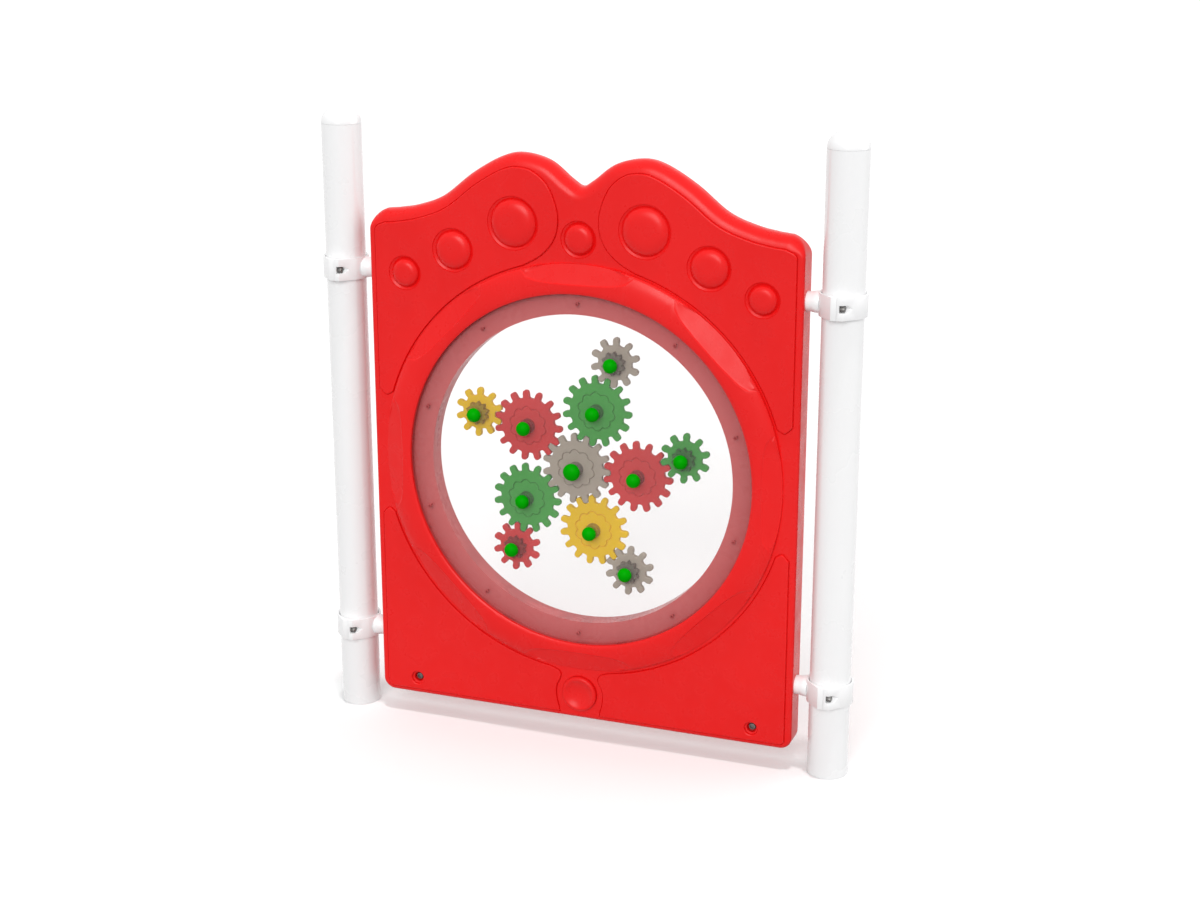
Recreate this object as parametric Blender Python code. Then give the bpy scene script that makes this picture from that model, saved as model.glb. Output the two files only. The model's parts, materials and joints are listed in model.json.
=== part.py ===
"""Gear panel for a play area: a moulded board between two posts, with eleven
meshing gears that turn between two clear windows.

X runs across the panel, the front faces -Y and Z is up. The origin is on the
ground, midway between the posts and on the plane through their axes.
"""
import math

import bmesh
import bpy
from mathutils import Matrix, Vector

# Gears
MODULE = 0.0095
TEETH_LARGE = 15
TEETH_SMALL = 10
ROLLING_MODULES = 2.5
ADDENDUM_MODULES = 0.88
TOOTH_BOTTOM_CLEARANCE = 0.0012
TIP_ROUNDING = 0.0019
TIP_FLAT_SHARE = 0.55
TOOTH_BACKLASH = 0.0006
GEAR_THICKNESS = 0.012
RING_GEARS = 5
FIRST_RING_ANGLE = 70.5
CENTRE_GEAR_PHASE = 22.9
# A small gear sits a whole number of mesh steps away from the first one's direction.
FIRST_SMALL_ANGLE = 69.6
SMALL_STEPS = (0, -3, -8, -12, 7)
LAYOUT_SHIFT_X = -0.0125
LAYOUT_SHIFT_Z = 0.001
STAR_TIP_RADIUS = 0.027
STAR_ROOT_RADIUS = 0.0195
HUB_RADIUS = 0.0145

# Axles and knobs
AXLE_RADIUS = 0.008
AXLE_SIDES = 8
FIT_CLEARANCE = 0.0003
RUNNING_CLEARANCE = 0.001
END_PLAY = 0.0005
KNOB_RADIUS = 0.0157
KNOB_SIDES = 8
CENTRE_KNOB_RADIUS = 0.0192
KNOB_HEIGHT = 0.0165
KNOB_SOCKET_DEPTH = 0.009

# Windows and the cavity between them
WINDOW_THICKNESS = 0.0095
HUB_LENGTH = 0.0141
WINDOW_REVEAL = 0.002
GEAR_TO_RIM = 0.028
LEDGE_WIDTH = 0.0475

# Panel
PANEL_THICKNESS = 0.064
EDGE_ROLL = 0.019
RING_WIDTH = 0.063
RING_HEIGHT = 0.020
RING_FACETS = 8
FACET_HALF_ANGLE = 14.5
SIDE_MARGIN = 0.032
BOTTOM_MARGIN = 0.123
CORNER_RADIUS = 0.034
LOBE_X = 0.136
LOBE_RISE = 0.225
NOTCH_RISE = 0.161
SHOULDER_RISE = 0.099
CORNER_RISE = 0.089
FIELD_MARGIN = 0.027
FIELD_HEIGHT = 0.003
FIELD_GROOVE = 0.006
FIELD_ROUND = 0.0025
TONGUE_HALF_ANGLE = 17.6
ARC_STEPS = 8
RING_SIDES = 44
JEWEL_SIDES = 12
LOBE_INNER_X = 0.046
BOSS_CHANNEL = 0.050
JEWEL_GROOVE = 0.0065
JEWEL_GROOVE_DEPTH = 0.0045
JEWEL_DOME = 0.008
# Radius of each jewel, how far its centre is outside the ring, and its angle from the vertical.
JEWELS = ((0.0535, 0.095, 15.7), (0.0435, 0.088, 32.0), (0.0335, 0.1145, 45.0))
CENTRE_JEWEL_RADIUS = 0.0355
CENTRE_JEWEL_RISE = 0.048
BOSS_RADIUS = 0.042
BOSS_DISH_RADIUS = 0.033
BOSS_HEIGHT = 0.009
BOSS_DROP = 0.062
BOLT_INSET_X = 0.090
BOLT_INSET_Z = 0.040
BOLT_RECESS_RADIUS = 0.0165
BOLT_RECESS_DEPTH = 0.014
BOLT_HEAD_RADIUS = 0.0105
BOLT_HEAD_HEIGHT = 0.006
BOLT_RADIUS = 0.005
BOLT_LENGTH = 0.030

# Posts and clamps
POST_DIAMETER = 0.0889
POST_WALL = 0.0032
POST_HEIGHT = 1.358
POST_SIDES = 24
CAP_DOME = 0.036
CAP_PLUG = 0.020
GROUND_GAP = 0.048
POST_GAP = 0.0754
CLAMP_RISE = 0.411
CLAMP_FALL = 0.438
CLAMP_HEIGHT = 0.048
CLAMP_WALL = 0.006
CLAMP_SPLIT = 0.001
EAR_WIDTH = 0.011
EAR_REACH = 0.0155
ARM_RADIUS = 0.021
ARM_SIDES = 12
ARM_INSERT = 0.024
CLAMP_BOLT_RADIUS = 0.004
CLAMP_BOLT_HEAD = 0.0068
CLAMP_BOLT_HEAD_HEIGHT = 0.005

# Placement worked out from the sizes above
GEAR_RADIUS_LARGE = MODULE * TEETH_LARGE / 2
GEAR_RADIUS_SMALL = MODULE * TEETH_SMALL / 2
ADDENDUM = ADDENDUM_MODULES * MODULE
DEDENDUM = ADDENDUM + TOOTH_BOTTOM_CLEARANCE
MESH_STEP = 360.0 / (TEETH_LARGE + TEETH_SMALL)
POST_RADIUS = POST_DIAMETER / 2
HALF_THICKNESS = PANEL_THICKNESS / 2
LEDGE_FRONT = -(HALF_THICKNESS - FIT_CLEARANCE)
FRONT_WINDOW_BACK = LEDGE_FRONT - FIT_CLEARANCE
FRONT_WINDOW_FACE = FRONT_WINDOW_BACK - WINDOW_THICKNESS
GEAR_Y = FRONT_WINDOW_BACK + END_PLAY + HUB_LENGTH + GEAR_THICKNESS / 2
REAR_WINDOW_FACE = GEAR_Y + GEAR_THICKNESS / 2 + HUB_LENGTH + END_PLAY
LEDGE_BACK = REAR_WINDOW_FACE - FIT_CLEARANCE
REAR_WINDOW_BACK = REAR_WINDOW_FACE + WINDOW_THICKNESS


def polar(radius, degrees):
    angle = math.radians(degrees)
    return Vector((radius * math.cos(angle), radius * math.sin(angle)))


def gear_layout():
    """Name, teeth, centre (x, z) from the window axis and phase of each gear."""
    centre = Vector((LAYOUT_SHIFT_X, LAYOUT_SHIFT_Z))
    gears = [("centre", TEETH_LARGE, centre, CENTRE_GEAR_PHASE)]
    for index in range(RING_GEARS):
        outward = FIRST_RING_ANGLE - index * 360.0 / RING_GEARS
        ring = centre + polar(2 * GEAR_RADIUS_LARGE, outward)
        ring_phase = mesh_phase(TEETH_LARGE, CENTRE_GEAR_PHASE, outward, TEETH_LARGE)
        gears.append((f"ring_{index + 1}", TEETH_LARGE, ring, ring_phase))
    for index in range(RING_GEARS):
        _, _, ring, ring_phase = gears[index + 1]
        outward = FIRST_SMALL_ANGLE + SMALL_STEPS[index] * MESH_STEP
        small = ring + polar(GEAR_RADIUS_LARGE + GEAR_RADIUS_SMALL, outward)
        small_phase = mesh_phase(TEETH_LARGE, ring_phase, outward, TEETH_SMALL)
        gears.append((f"outer_{index + 1}", TEETH_SMALL, small, small_phase))
    return gears


def mesh_phase(teeth, phase, direction, other_teeth):
    """Angle of a tooth of the driven gear when its gap faces the driver's tooth."""
    turned = (direction - phase) * teeth - 180.0
    return direction + 180.0 + turned / other_teeth


GEARS = gear_layout()
TIP_RADIUS = {TEETH_LARGE: GEAR_RADIUS_LARGE + ADDENDUM, TEETH_SMALL: GEAR_RADIUS_SMALL + ADDENDUM}
OPENING_RADIUS = max(g[2].length + TIP_RADIUS[g[1]] for g in GEARS) + GEAR_TO_RIM
RIM_RADIUS = OPENING_RADIUS + LEDGE_WIDTH
WINDOW_RADIUS = RIM_RADIUS - WINDOW_REVEAL
RING_RADIUS = RIM_RADIUS + RING_WIDTH
HALF_WIDTH = RING_RADIUS + SIDE_MARGIN
PANEL_BOTTOM = -(RING_RADIUS + BOTTOM_MARGIN)
WINDOW_Z = GROUND_GAP - PANEL_BOTTOM
POST_X = HALF_WIDTH + POST_GAP
BOLT_X = HALF_WIDTH - BOLT_INSET_X
BOLT_Z = PANEL_BOTTOM + BOLT_INSET_Z
BOSS_Z = -(RING_RADIUS + BOSS_DROP)


def new_material(name, colour, roughness, metallic=0.0, alpha=1.0):
    material = bpy.data.materials.new(name)
    material.use_nodes = True
    shader = material.node_tree.nodes["Principled BSDF"]
    shader.inputs["Base Color"].default_value = (*colour, 1.0)
    shader.inputs["Roughness"].default_value = roughness
    shader.inputs["Metallic"].default_value = metallic
    shader.inputs["Alpha"].default_value = alpha
    return material


def new_object(name, bm, material, smooth=35.0):
    bmesh.ops.recalc_face_normals(bm, faces=bm.faces)
    mesh = bpy.data.meshes.new(name)
    bm.to_mesh(mesh)
    bm.free()
    if material:
        mesh.materials.append(material)
    mesh.shade_smooth()
    mesh.set_sharp_from_angle(angle=math.radians(smooth))
    obj = bpy.data.objects.new(name, mesh)
    bpy.context.scene.collection.objects.link(obj)
    return obj


def combine(obj, operation, bm):
    """Boolean the closed bodies of bm into obj and keep the result as its mesh."""
    tool = new_object(obj.name + "_tool", bm, None)
    modifier = obj.modifiers.new("combine", "BOOLEAN")
    modifier.operation = operation
    modifier.solver = "EXACT"
    modifier.object = tool
    graph = bpy.context.evaluated_depsgraph_get()
    result = bpy.data.meshes.new_from_object(obj.evaluated_get(graph))
    obj.modifiers.remove(modifier)
    old = obj.data
    obj.data = result
    bpy.data.meshes.remove(old)
    old_tool = tool.data
    bpy.data.objects.remove(tool)
    bpy.data.meshes.remove(old_tool)
    obj.data.shade_smooth()
    obj.data.set_sharp_from_angle(angle=math.radians(35))


def add_rings(bm, rings, closed_loop=False):
    """Skin a list of equal rings of points; the ends are capped unless the rings form a loop."""
    made = [[bm.verts.new(p) for p in ring] for ring in rings]
    count = len(made[0])
    pairs = list(zip(made, made[1:]))
    if closed_loop:
        pairs.append((made[-1], made[0]))
    for low, high in pairs:
        for i in range(count):
            j = (i + 1) % count
            bm.faces.new((low[i], low[j], high[j], high[i]))
    if not closed_loop:
        bm.faces.new(made[0])
        bm.faces.new(made[-1])
    return bm


def add_prism(bm, outline, y_front, y_back, x=0.0, z=0.0):
    """Extrude an (x, z) outline along Y."""
    front = [(x + p[0], y_front, z + p[1]) for p in outline]
    back = [(x + p[0], y_back, z + p[1]) for p in outline]
    return add_rings(bm, [front, back])


def around(radius, sides):
    """Corner radius of a hole of so many sides that clears a round of this radius."""
    return (radius + FIT_CLEARANCE) / math.cos(math.pi / sides)


def circle(radius, sides, phase=0.0):
    return [polar(radius, phase + 360.0 * i / sides) for i in range(sides)]


def add_turned(bm, profile, sides, x=0.0, z=0.0, phase=0.0, closed_loop=False):
    """Turn a profile of (radius, y) about an axis along Y."""
    rings = []
    for radius, y in profile:
        rings.append([(x + p[0], y, z + p[1]) for p in circle(radius, sides, phase)])
    return add_rings(bm, rings, closed_loop)


def spline(points, steps):
    """Catmull-Rom curve through the points, with the ends held."""
    points = [Vector(p) for p in points]
    padded = [2 * points[0] - points[1], *points, 2 * points[-1] - points[-2]]
    curve = []
    for a, b, c, d in zip(padded, padded[1:], padded[2:], padded[3:]):
        for i in range(steps):
            t = i / steps
            curve.append(0.5 * (2 * b + (c - a) * t + (2 * a - 5 * b + 4 * c - d) * t * t
                                + (3 * b - a - 3 * c + d) * t ** 3))
    curve.append(points[-1])
    return curve


def half_outline():
    """Right half of the panel's outline, from the bottom centre round to the notch."""
    corner = CORNER_RADIUS
    points = [Vector((0.0, PANEL_BOTTOM))]
    pivot = Vector((HALF_WIDTH - corner, PANEL_BOTTOM + corner))
    points += [pivot + polar(corner, -90 + 22.5 * i) for i in range(5)]
    top = RING_RADIUS + CORNER_RISE
    pivot = Vector((HALF_WIDTH - corner, top - corner))
    points += [pivot + polar(corner, 22 * i) for i in range(4)]
    lobe = RING_RADIUS + LOBE_RISE
    rise = [
        (HALF_WIDTH - corner - 0.018, top + 0.0015),
        (HALF_WIDTH - 0.110, RING_RADIUS + SHOULDER_RISE + 0.001),
        (LOBE_X + 0.184, RING_RADIUS + SHOULDER_RISE + 0.025),
        (LOBE_X + 0.116, lobe - 0.049),
        (LOBE_X + 0.050, lobe - 0.011),
        (LOBE_X, lobe),
        (LOBE_X - 0.061, lobe - 0.014),
        (0.026, RING_RADIUS + NOTCH_RISE + 0.014),
        (0.0, RING_RADIUS + NOTCH_RISE),
    ]
    points += spline(rise, 2)
    return points


def offset(points, distance):
    """Move each point of an outline, taken counterclockwise, inwards along its normal."""
    moved = []
    count = len(points)
    for i in range(count):
        before = points[i] - points[i - 1]
        after = points[(i + 1) % count] - points[i]
        tangent = before.normalized() + after.normalized()
        normal = Vector((-tangent.y, tangent.x)).normalized()
        lean = max(0.5, normal.dot(Vector((-after.y, after.x)).normalized()))
        moved.append(points[i] + normal * distance / lean)
    return moved


def panel_outline():
    half = half_outline()
    mirrored = [Vector((-p.x, p.y)) for p in reversed(half[1:-1])]
    return half + mirrored


def field_prisms(bm):
    """Four raised fields that follow the panel's edge and the ring."""
    reach = RING_RADIUS + FIELD_GROOVE
    side = HALF_WIDTH - FIELD_MARGIN
    inset = offset(panel_outline(), FIELD_MARGIN)
    upper_edge = [p for p in inset if p.y > 0 and p.x > LOBE_X - 0.075]
    lobe_side = spline([
        upper_edge[-1],
        (LOBE_INNER_X + 0.010, RING_RADIUS + NOTCH_RISE - 0.018),
        (LOBE_INNER_X, RING_RADIUS + 0.080),
        (LOBE_INNER_X + 0.004, RING_RADIUS + 0.034),
        (LOBE_INNER_X + 0.024, reach * math.cos(math.asin((LOBE_INNER_X + 0.024) / reach))),
    ], 2)[1:]
    start = 90.0 - math.degrees(math.asin((LOBE_INNER_X + 0.024) / reach))
    stop = TONGUE_HALF_ANGLE
    arc = [polar(reach, start + (stop - start) * i / ARC_STEPS) for i in range(1, ARC_STEPS + 1)]
    tongue = arc[-1]
    tip = [Vector(((tongue.x + side) / 2, tongue.y - 0.008)), Vector((side, tongue.y + 0.006))]
    upper = tip + upper_edge + lobe_side + arc
    lower_edge = [p for p in inset if p.y < 0 and p.x > BOSS_CHANNEL]
    corner_z = PANEL_BOTTOM + FIELD_MARGIN
    neck = math.degrees(math.asin((BOSS_CHANNEL - 0.002) / reach))
    boss_side = [
        Vector((BOSS_CHANNEL - 0.002, -reach * math.cos(math.radians(neck)))),
        Vector((BOSS_CHANNEL + 0.0015, BOSS_Z)),
        Vector((BOSS_CHANNEL - 0.004, corner_z)),
    ]
    sweep = -90 + neck + TONGUE_HALF_ANGLE
    arc = [polar(reach, -TONGUE_HALF_ANGLE + sweep * i / ARC_STEPS) for i in range(ARC_STEPS)]
    tongue = arc[0]
    tip = [Vector((side, tongue.y - 0.006)), Vector(((tongue.x + side) / 2, tongue.y + 0.008))]
    lower = boss_side + lower_edge + tip + arc
    face = -HALF_THICKNESS
    for outline in (upper, lower):
        for flip in (1, -1):
            shape = outline if flip == 1 else [Vector((-p.x, p.y)) for p in reversed(outline)]
            inner = offset(shape, FIELD_ROUND)
            base = [(p.x, face + 0.006, p.y) for p in shape]
            shoulder = [(p.x, face - FIELD_HEIGHT + FIELD_ROUND * 0.6, p.y) for p in shape]
            crest = [(p.x, face - FIELD_HEIGHT, p.y) for p in inner]
            add_rings(bm, [base, shoulder, crest])
    return bm


def ring_profile():
    """Section of the ring bead, from under the face round its back to the rim."""
    face = -HALF_THICKNESS
    inner = RIM_RADIUS - 0.012
    section = [(inner, face + 0.008), (RING_RADIUS, face + 0.008), (RING_RADIUS, face)]
    for share, rise in ((0.16, 0.47), (0.42, 0.83), (0.82, 1.0), (1.0, 0.88)):
        section.append((RING_RADIUS - RING_WIDTH * share, face - RING_HEIGHT * rise))
    section.append((inner, face - RING_HEIGHT * 0.80))
    return section


def jewel_places():
    places = [(CENTRE_JEWEL_RADIUS, 0.0, RING_RADIUS + CENTRE_JEWEL_RISE)]
    for radius, rise, lean in JEWELS:
        spot = polar(RING_RADIUS + rise, 90.0 - lean)
        places += [(radius, spot.x, spot.y), (radius, -spot.x, spot.y)]
    return places


def build_panel(material):
    outline = panel_outline()
    rolls = ((1.0, 0.0), (0.38, 0.20), (0.0, 1.0))
    steps = [(EDGE_ROLL * a, HALF_THICKNESS - EDGE_ROLL * b) for a, b in rolls]
    stations = [(a, -y) for a, y in steps] + [(a, y) for a, y in reversed(steps)]
    rings = [[(p.x, y, p.y) for p in offset(outline, a)] for a, y in stations]
    panel = new_object("panel_body", add_rings(bmesh.new(), rings), material)
    half_step = 180.0 / RING_SIDES
    bead = add_turned(bmesh.new(), ring_profile(), RING_SIDES, phase=half_step, closed_loop=True)
    combine(panel, "UNION", bead)
    combine(panel, "UNION", field_prisms(bmesh.new()))

    cuts = bmesh.new()
    face = -HALF_THICKNESS
    groove_top = face - RING_HEIGHT
    for radius, x, z in jewel_places():
        floor = face + (JEWEL_GROOVE_DEPTH if x == 0.0 else JEWEL_GROOVE_DEPTH - FIELD_HEIGHT)
        add_prism(cuts, circle(radius + JEWEL_GROOVE, JEWEL_SIDES), groove_top, floor, x, z)
    add_prism(cuts, circle(BOSS_RADIUS, JEWEL_SIDES), groove_top, face + 0.002, 0.0, BOSS_Z)
    for x in (-BOLT_X, BOLT_X):
        add_turned(cuts, [
            (BOLT_RECESS_RADIUS, groove_top),
            (BOLT_RECESS_RADIUS, face + BOLT_RECESS_DEPTH),
            (BOLT_RADIUS + FIT_CLEARANCE, face + BOLT_RECESS_DEPTH),
            (BOLT_RADIUS + FIT_CLEARANCE, face + BOLT_RECESS_DEPTH + BOLT_LENGTH + FIT_CLEARANCE),
        ], 8, x, BOLT_Z)
    combine(panel, "DIFFERENCE", cuts)

    domes = bmesh.new()
    for radius, x, z in jewel_places():
        floor = face + JEWEL_GROOVE_DEPTH + 0.004
        top = face - (0.0 if x == 0.0 else FIELD_HEIGHT) - JEWEL_DOME
        foot = face + JEWEL_GROOVE_DEPTH - (0.0 if x == 0.0 else FIELD_HEIGHT) - 0.002
        depth = foot - top
        profile = [(radius, floor), (radius, foot)]
        profile.append((radius * 0.80, top + depth * 0.36))
        profile.append((radius * 0.30, top))
        add_turned(domes, profile, JEWEL_SIDES, x, z)
    rim = face - BOSS_HEIGHT
    add_turned(domes, [
        (BOSS_RADIUS - 0.001, face + 0.006),
        (BOSS_RADIUS - 0.001, rim + 0.003),
        (BOSS_RADIUS - 0.004, rim),
        (BOSS_DISH_RADIUS, rim),
        (BOSS_DISH_RADIUS * 0.62, rim + 0.005),
    ], JEWEL_SIDES, 0.0, BOSS_Z)
    combine(panel, "UNION", domes)

    facets = bmesh.new()
    chord = RING_RADIUS * math.cos(math.radians(FACET_HALF_ANGLE))
    for index in range(RING_FACETS):
        turn = Matrix.Rotation(math.radians(-360.0 * index / RING_FACETS), 3, "Y")
        low = (chord, face - 0.0006)
        high = (chord - RING_WIDTH * 0.30, face - RING_HEIGHT * 1.05)
        section = [low, high, (chord + 0.09, high[1]), (chord + 0.09, low[1])]
        half = RING_RADIUS * 0.36
        rings = []
        for x in (-half, half):
            rings.append([turn @ Vector((x, y, radius)) for radius, y in section])
        add_rings(facets, rings)
    combine(panel, "DIFFERENCE", facets)

    window = bmesh.new()
    add_turned(window, [
        (RIM_RADIUS, -HALF_THICKNESS - 2 * RING_HEIGHT),
        (RIM_RADIUS, LEDGE_FRONT),
        (OPENING_RADIUS, LEDGE_FRONT),
        (OPENING_RADIUS, LEDGE_BACK),
        (RIM_RADIUS, LEDGE_BACK),
        (RIM_RADIUS, HALF_THICKNESS + 0.01),
    ], RING_SIDES, phase=half_step)
    combine(panel, "DIFFERENCE", window)

    holes = bmesh.new()
    for side in (-1, 1):
        for z in (CLAMP_RISE, -CLAMP_FALL):
            rings = []
            for x in (HALF_WIDTH + 0.01, HALF_WIDTH - ARM_INSERT - FIT_CLEARANCE):
                ring = circle(ARM_RADIUS + FIT_CLEARANCE, ARM_SIDES)
                rings.append([(side * x, p[0], z + p[1]) for p in ring])
            add_rings(holes, rings)
    combine(panel, "DIFFERENCE", holes)
    return panel


def build_window(name, front, back, material):
    rim = circle(WINDOW_RADIUS, RING_SIDES, 180.0 / RING_SIDES)
    disc = new_object(name, add_prism(bmesh.new(), rim, front, back), material)
    holes = bmesh.new()
    for _, _, spot, _ in GEARS:
        ring = circle(AXLE_RADIUS + RUNNING_CLEARANCE, AXLE_SIDES)
        add_prism(holes, ring, front - 0.01, back + 0.01, spot.x, spot.y)
    combine(disc, "DIFFERENCE", holes)
    return disc


def build_corner_bolt(name, x, material):
    seat = -HALF_THICKNESS + BOLT_RECESS_DEPTH - FIT_CLEARANCE
    bolt = add_turned(bmesh.new(), [
        (BOLT_RADIUS, seat + BOLT_LENGTH),
        (BOLT_RADIUS, seat),
        (BOLT_HEAD_RADIUS, seat),
        (BOLT_HEAD_RADIUS * 0.55, seat - BOLT_HEAD_HEIGHT),
    ], 8)
    obj = new_object(name, bolt, material)
    obj.location = (x, 0.0, WINDOW_Z + BOLT_Z)
    return obj


def tooth_profile(teeth):
    """Half a cycloidal tooth as (radius, angle from its middle), from the root to the tip."""
    pitch = MODULE * teeth / 2
    roll = MODULE * ROLLING_MODULES
    half = math.pi / (2 * teeth) - TOOTH_BACKLASH / (2 * pitch)

    def face(turn):
        radius = math.sqrt((pitch + roll) ** 2 + roll ** 2 - 2 * roll * (pitch + roll) * math.cos(turn))
        lean = roll * turn / pitch
        lean -= math.atan2(roll * math.sin(turn), pitch + roll - roll * math.cos(turn))
        return radius, half - lean

    def flank(turn):
        radius = math.sqrt((pitch - roll) ** 2 + roll ** 2 + 2 * roll * (pitch - roll) * math.cos(turn))
        lean = roll * turn / pitch
        lean -= math.atan2(roll * math.sin(turn), pitch - roll + roll * math.cos(turn))
        return radius, half + lean

    def turn_at(curve, radius):
        low = 0.0
        high = math.pi
        growing = curve(high)[0] > curve(low)[0]
        for _ in range(40):
            middle = (low + high) / 2
            if (curve(middle)[0] < radius) == growing:
                low = middle
            else:
                high = middle
        return low

    root = pitch - DEDENDUM
    tip = pitch + ADDENDUM
    corner = flank(turn_at(flank, root))
    shoulder = face(turn_at(face, tip - TIP_ROUNDING))
    gap = math.pi / teeth
    return [
        (root, corner[1] + (gap - corner[1]) * 0.04),
        (pitch, half),
        shoulder,
        (tip, shoulder[1] * TIP_FLAT_SHARE),
    ]


def gear_outline(teeth):
    points = []
    profile = tooth_profile(teeth)
    for index in range(teeth):
        middle = 360.0 * index / teeth
        points += [polar(r, middle - math.degrees(a)) for r, a in profile]
        points += [polar(r, middle + math.degrees(a)) for r, a in reversed(profile)]
    return points


def build_gear(name, teeth, material):
    """Gear about its own origin, with its bore and hubs; a small gear's front hub is a star."""
    front = -GEAR_THICKNESS / 2
    back = GEAR_THICKNESS / 2
    gear = new_object("gear_" + name, add_prism(bmesh.new(), gear_outline(teeth), front, back), material, 30)
    hub = circle(HUB_RADIUS, 10)
    hubs = bmesh.new()
    if teeth == TEETH_LARGE:
        add_prism(hubs, hub, front - HUB_LENGTH, back + HUB_LENGTH)
    else:
        star = []
        for index in range(teeth):
            middle = 360.0 * index / teeth
            star += [polar(STAR_TIP_RADIUS, middle), polar(STAR_ROOT_RADIUS, middle + 180.0 / teeth)]
        add_prism(hubs, star, front - HUB_LENGTH, 0.0)
        add_prism(hubs, hub, GEAR_THICKNESS * 0.25, back + HUB_LENGTH)
    combine(gear, "UNION", hubs)
    bore = bmesh.new()
    add_prism(bore, circle(AXLE_RADIUS + FIT_CLEARANCE, AXLE_SIDES), front - 2 * HUB_LENGTH, back + 2 * HUB_LENGTH)
    combine(gear, "DIFFERENCE", bore)
    return gear


def knob_radius(name):
    return CENTRE_KNOB_RADIUS if name == "centre" else KNOB_RADIUS


def dome_profile(radius, seat, outward):
    """Domed knob section from its seat face to its crown."""
    crown = seat + outward * KNOB_HEIGHT
    lip = seat + outward * KNOB_HEIGHT * 0.22
    height = crown - lip
    section = [(radius * 0.96, seat), (radius, lip)]
    section.append((radius * 0.80, lip + height * 0.62))
    section.append((radius * 0.34, crown))
    return section


def build_axle(name, material):
    """Axle through both windows with its dome behind the rear one, about the gear's origin."""
    tip = FRONT_WINDOW_FACE - GEAR_Y - END_PLAY - KNOB_SOCKET_DEPTH + FIT_CLEARANCE
    seat = REAR_WINDOW_BACK - GEAR_Y + END_PLAY
    shaft = add_prism(bmesh.new(), circle(AXLE_RADIUS, AXLE_SIDES), tip, seat + 0.004)
    obj = new_object("axle_" + name, shaft, material)
    combine(obj, "UNION", add_turned(bmesh.new(), dome_profile(knob_radius(name), seat, 1), KNOB_SIDES))
    return obj


def build_knob(name, material):
    seat = FRONT_WINDOW_FACE - GEAR_Y - END_PLAY
    knob = bmesh.new()
    add_turned(knob, dome_profile(knob_radius(name), seat, -1), KNOB_SIDES)
    obj = new_object("knob_" + name, knob, material)
    socket = bmesh.new()
    add_prism(socket, circle(AXLE_RADIUS + FIT_CLEARANCE, AXLE_SIDES), seat - KNOB_SOCKET_DEPTH, seat + 0.01)
    combine(obj, "DIFFERENCE", socket)
    return obj


def build_post(name, x, material):
    rings = []
    inner = POST_RADIUS - POST_WALL
    for radius, z in ((POST_RADIUS, 0.0), (POST_RADIUS, POST_HEIGHT), (inner, POST_HEIGHT), (inner, 0.0)):
        rings.append([(p[0], p[1], z) for p in circle(radius, POST_SIDES)])
    post = new_object(name, add_rings(bmesh.new(), rings, closed_loop=True), material)
    post.location = (x, 0.0, 0.0)
    return post


def build_post_cap(name, x, material):
    seat = FIT_CLEARANCE
    plug = POST_RADIUS - POST_WALL - FIT_CLEARANCE
    profile = [(plug, -CAP_PLUG), (plug, seat), (POST_RADIUS, seat)]
    for degrees in (22, 55):
        angle = math.radians(degrees)
        profile.append((POST_RADIUS * math.cos(angle), 0.004 + (CAP_DOME - 0.004) * math.sin(angle)))
    profile.append((POST_RADIUS * 0.2, CAP_DOME))
    rings = [[(p[0], p[1], z) for p in circle(radius, POST_SIDES)] for radius, z in profile]
    cap = new_object(name, add_rings(bmesh.new(), rings), material)
    cap.location = (x, 0.0, POST_HEIGHT)
    return cap


def clamp_plan():
    """Plan of a clamp half on the +X side of the post: shell, ears and the gussets behind them."""
    inner = POST_RADIUS + FIT_CLEARANCE
    outer = inner + CLAMP_WALL
    ear = POST_RADIUS + EAR_REACH
    edge = CLAMP_SPLIT / 2
    width = edge + EAR_WIDTH
    plan = [Vector((edge, -ear)), Vector((width, -ear))]
    plan += [polar(outer, a) for a in (-44, -29, -15, 0, 15, 29, 44)]
    plan += [Vector((width, ear)), Vector((edge, ear))]
    step = 360.0 / POST_SIDES
    quarter = POST_SIDES // 4
    bore = [polar(inner, step * i) for i in range(quarter - 1, -quarter, -1)]
    meet = math.sqrt(inner ** 2 - edge ** 2)
    return plan + [Vector((edge, meet)), *bore, Vector((edge, -meet))]


def ear_bolt_y():
    return POST_RADIUS + EAR_REACH - CLAMP_BOLT_HEAD - 0.0022


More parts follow.
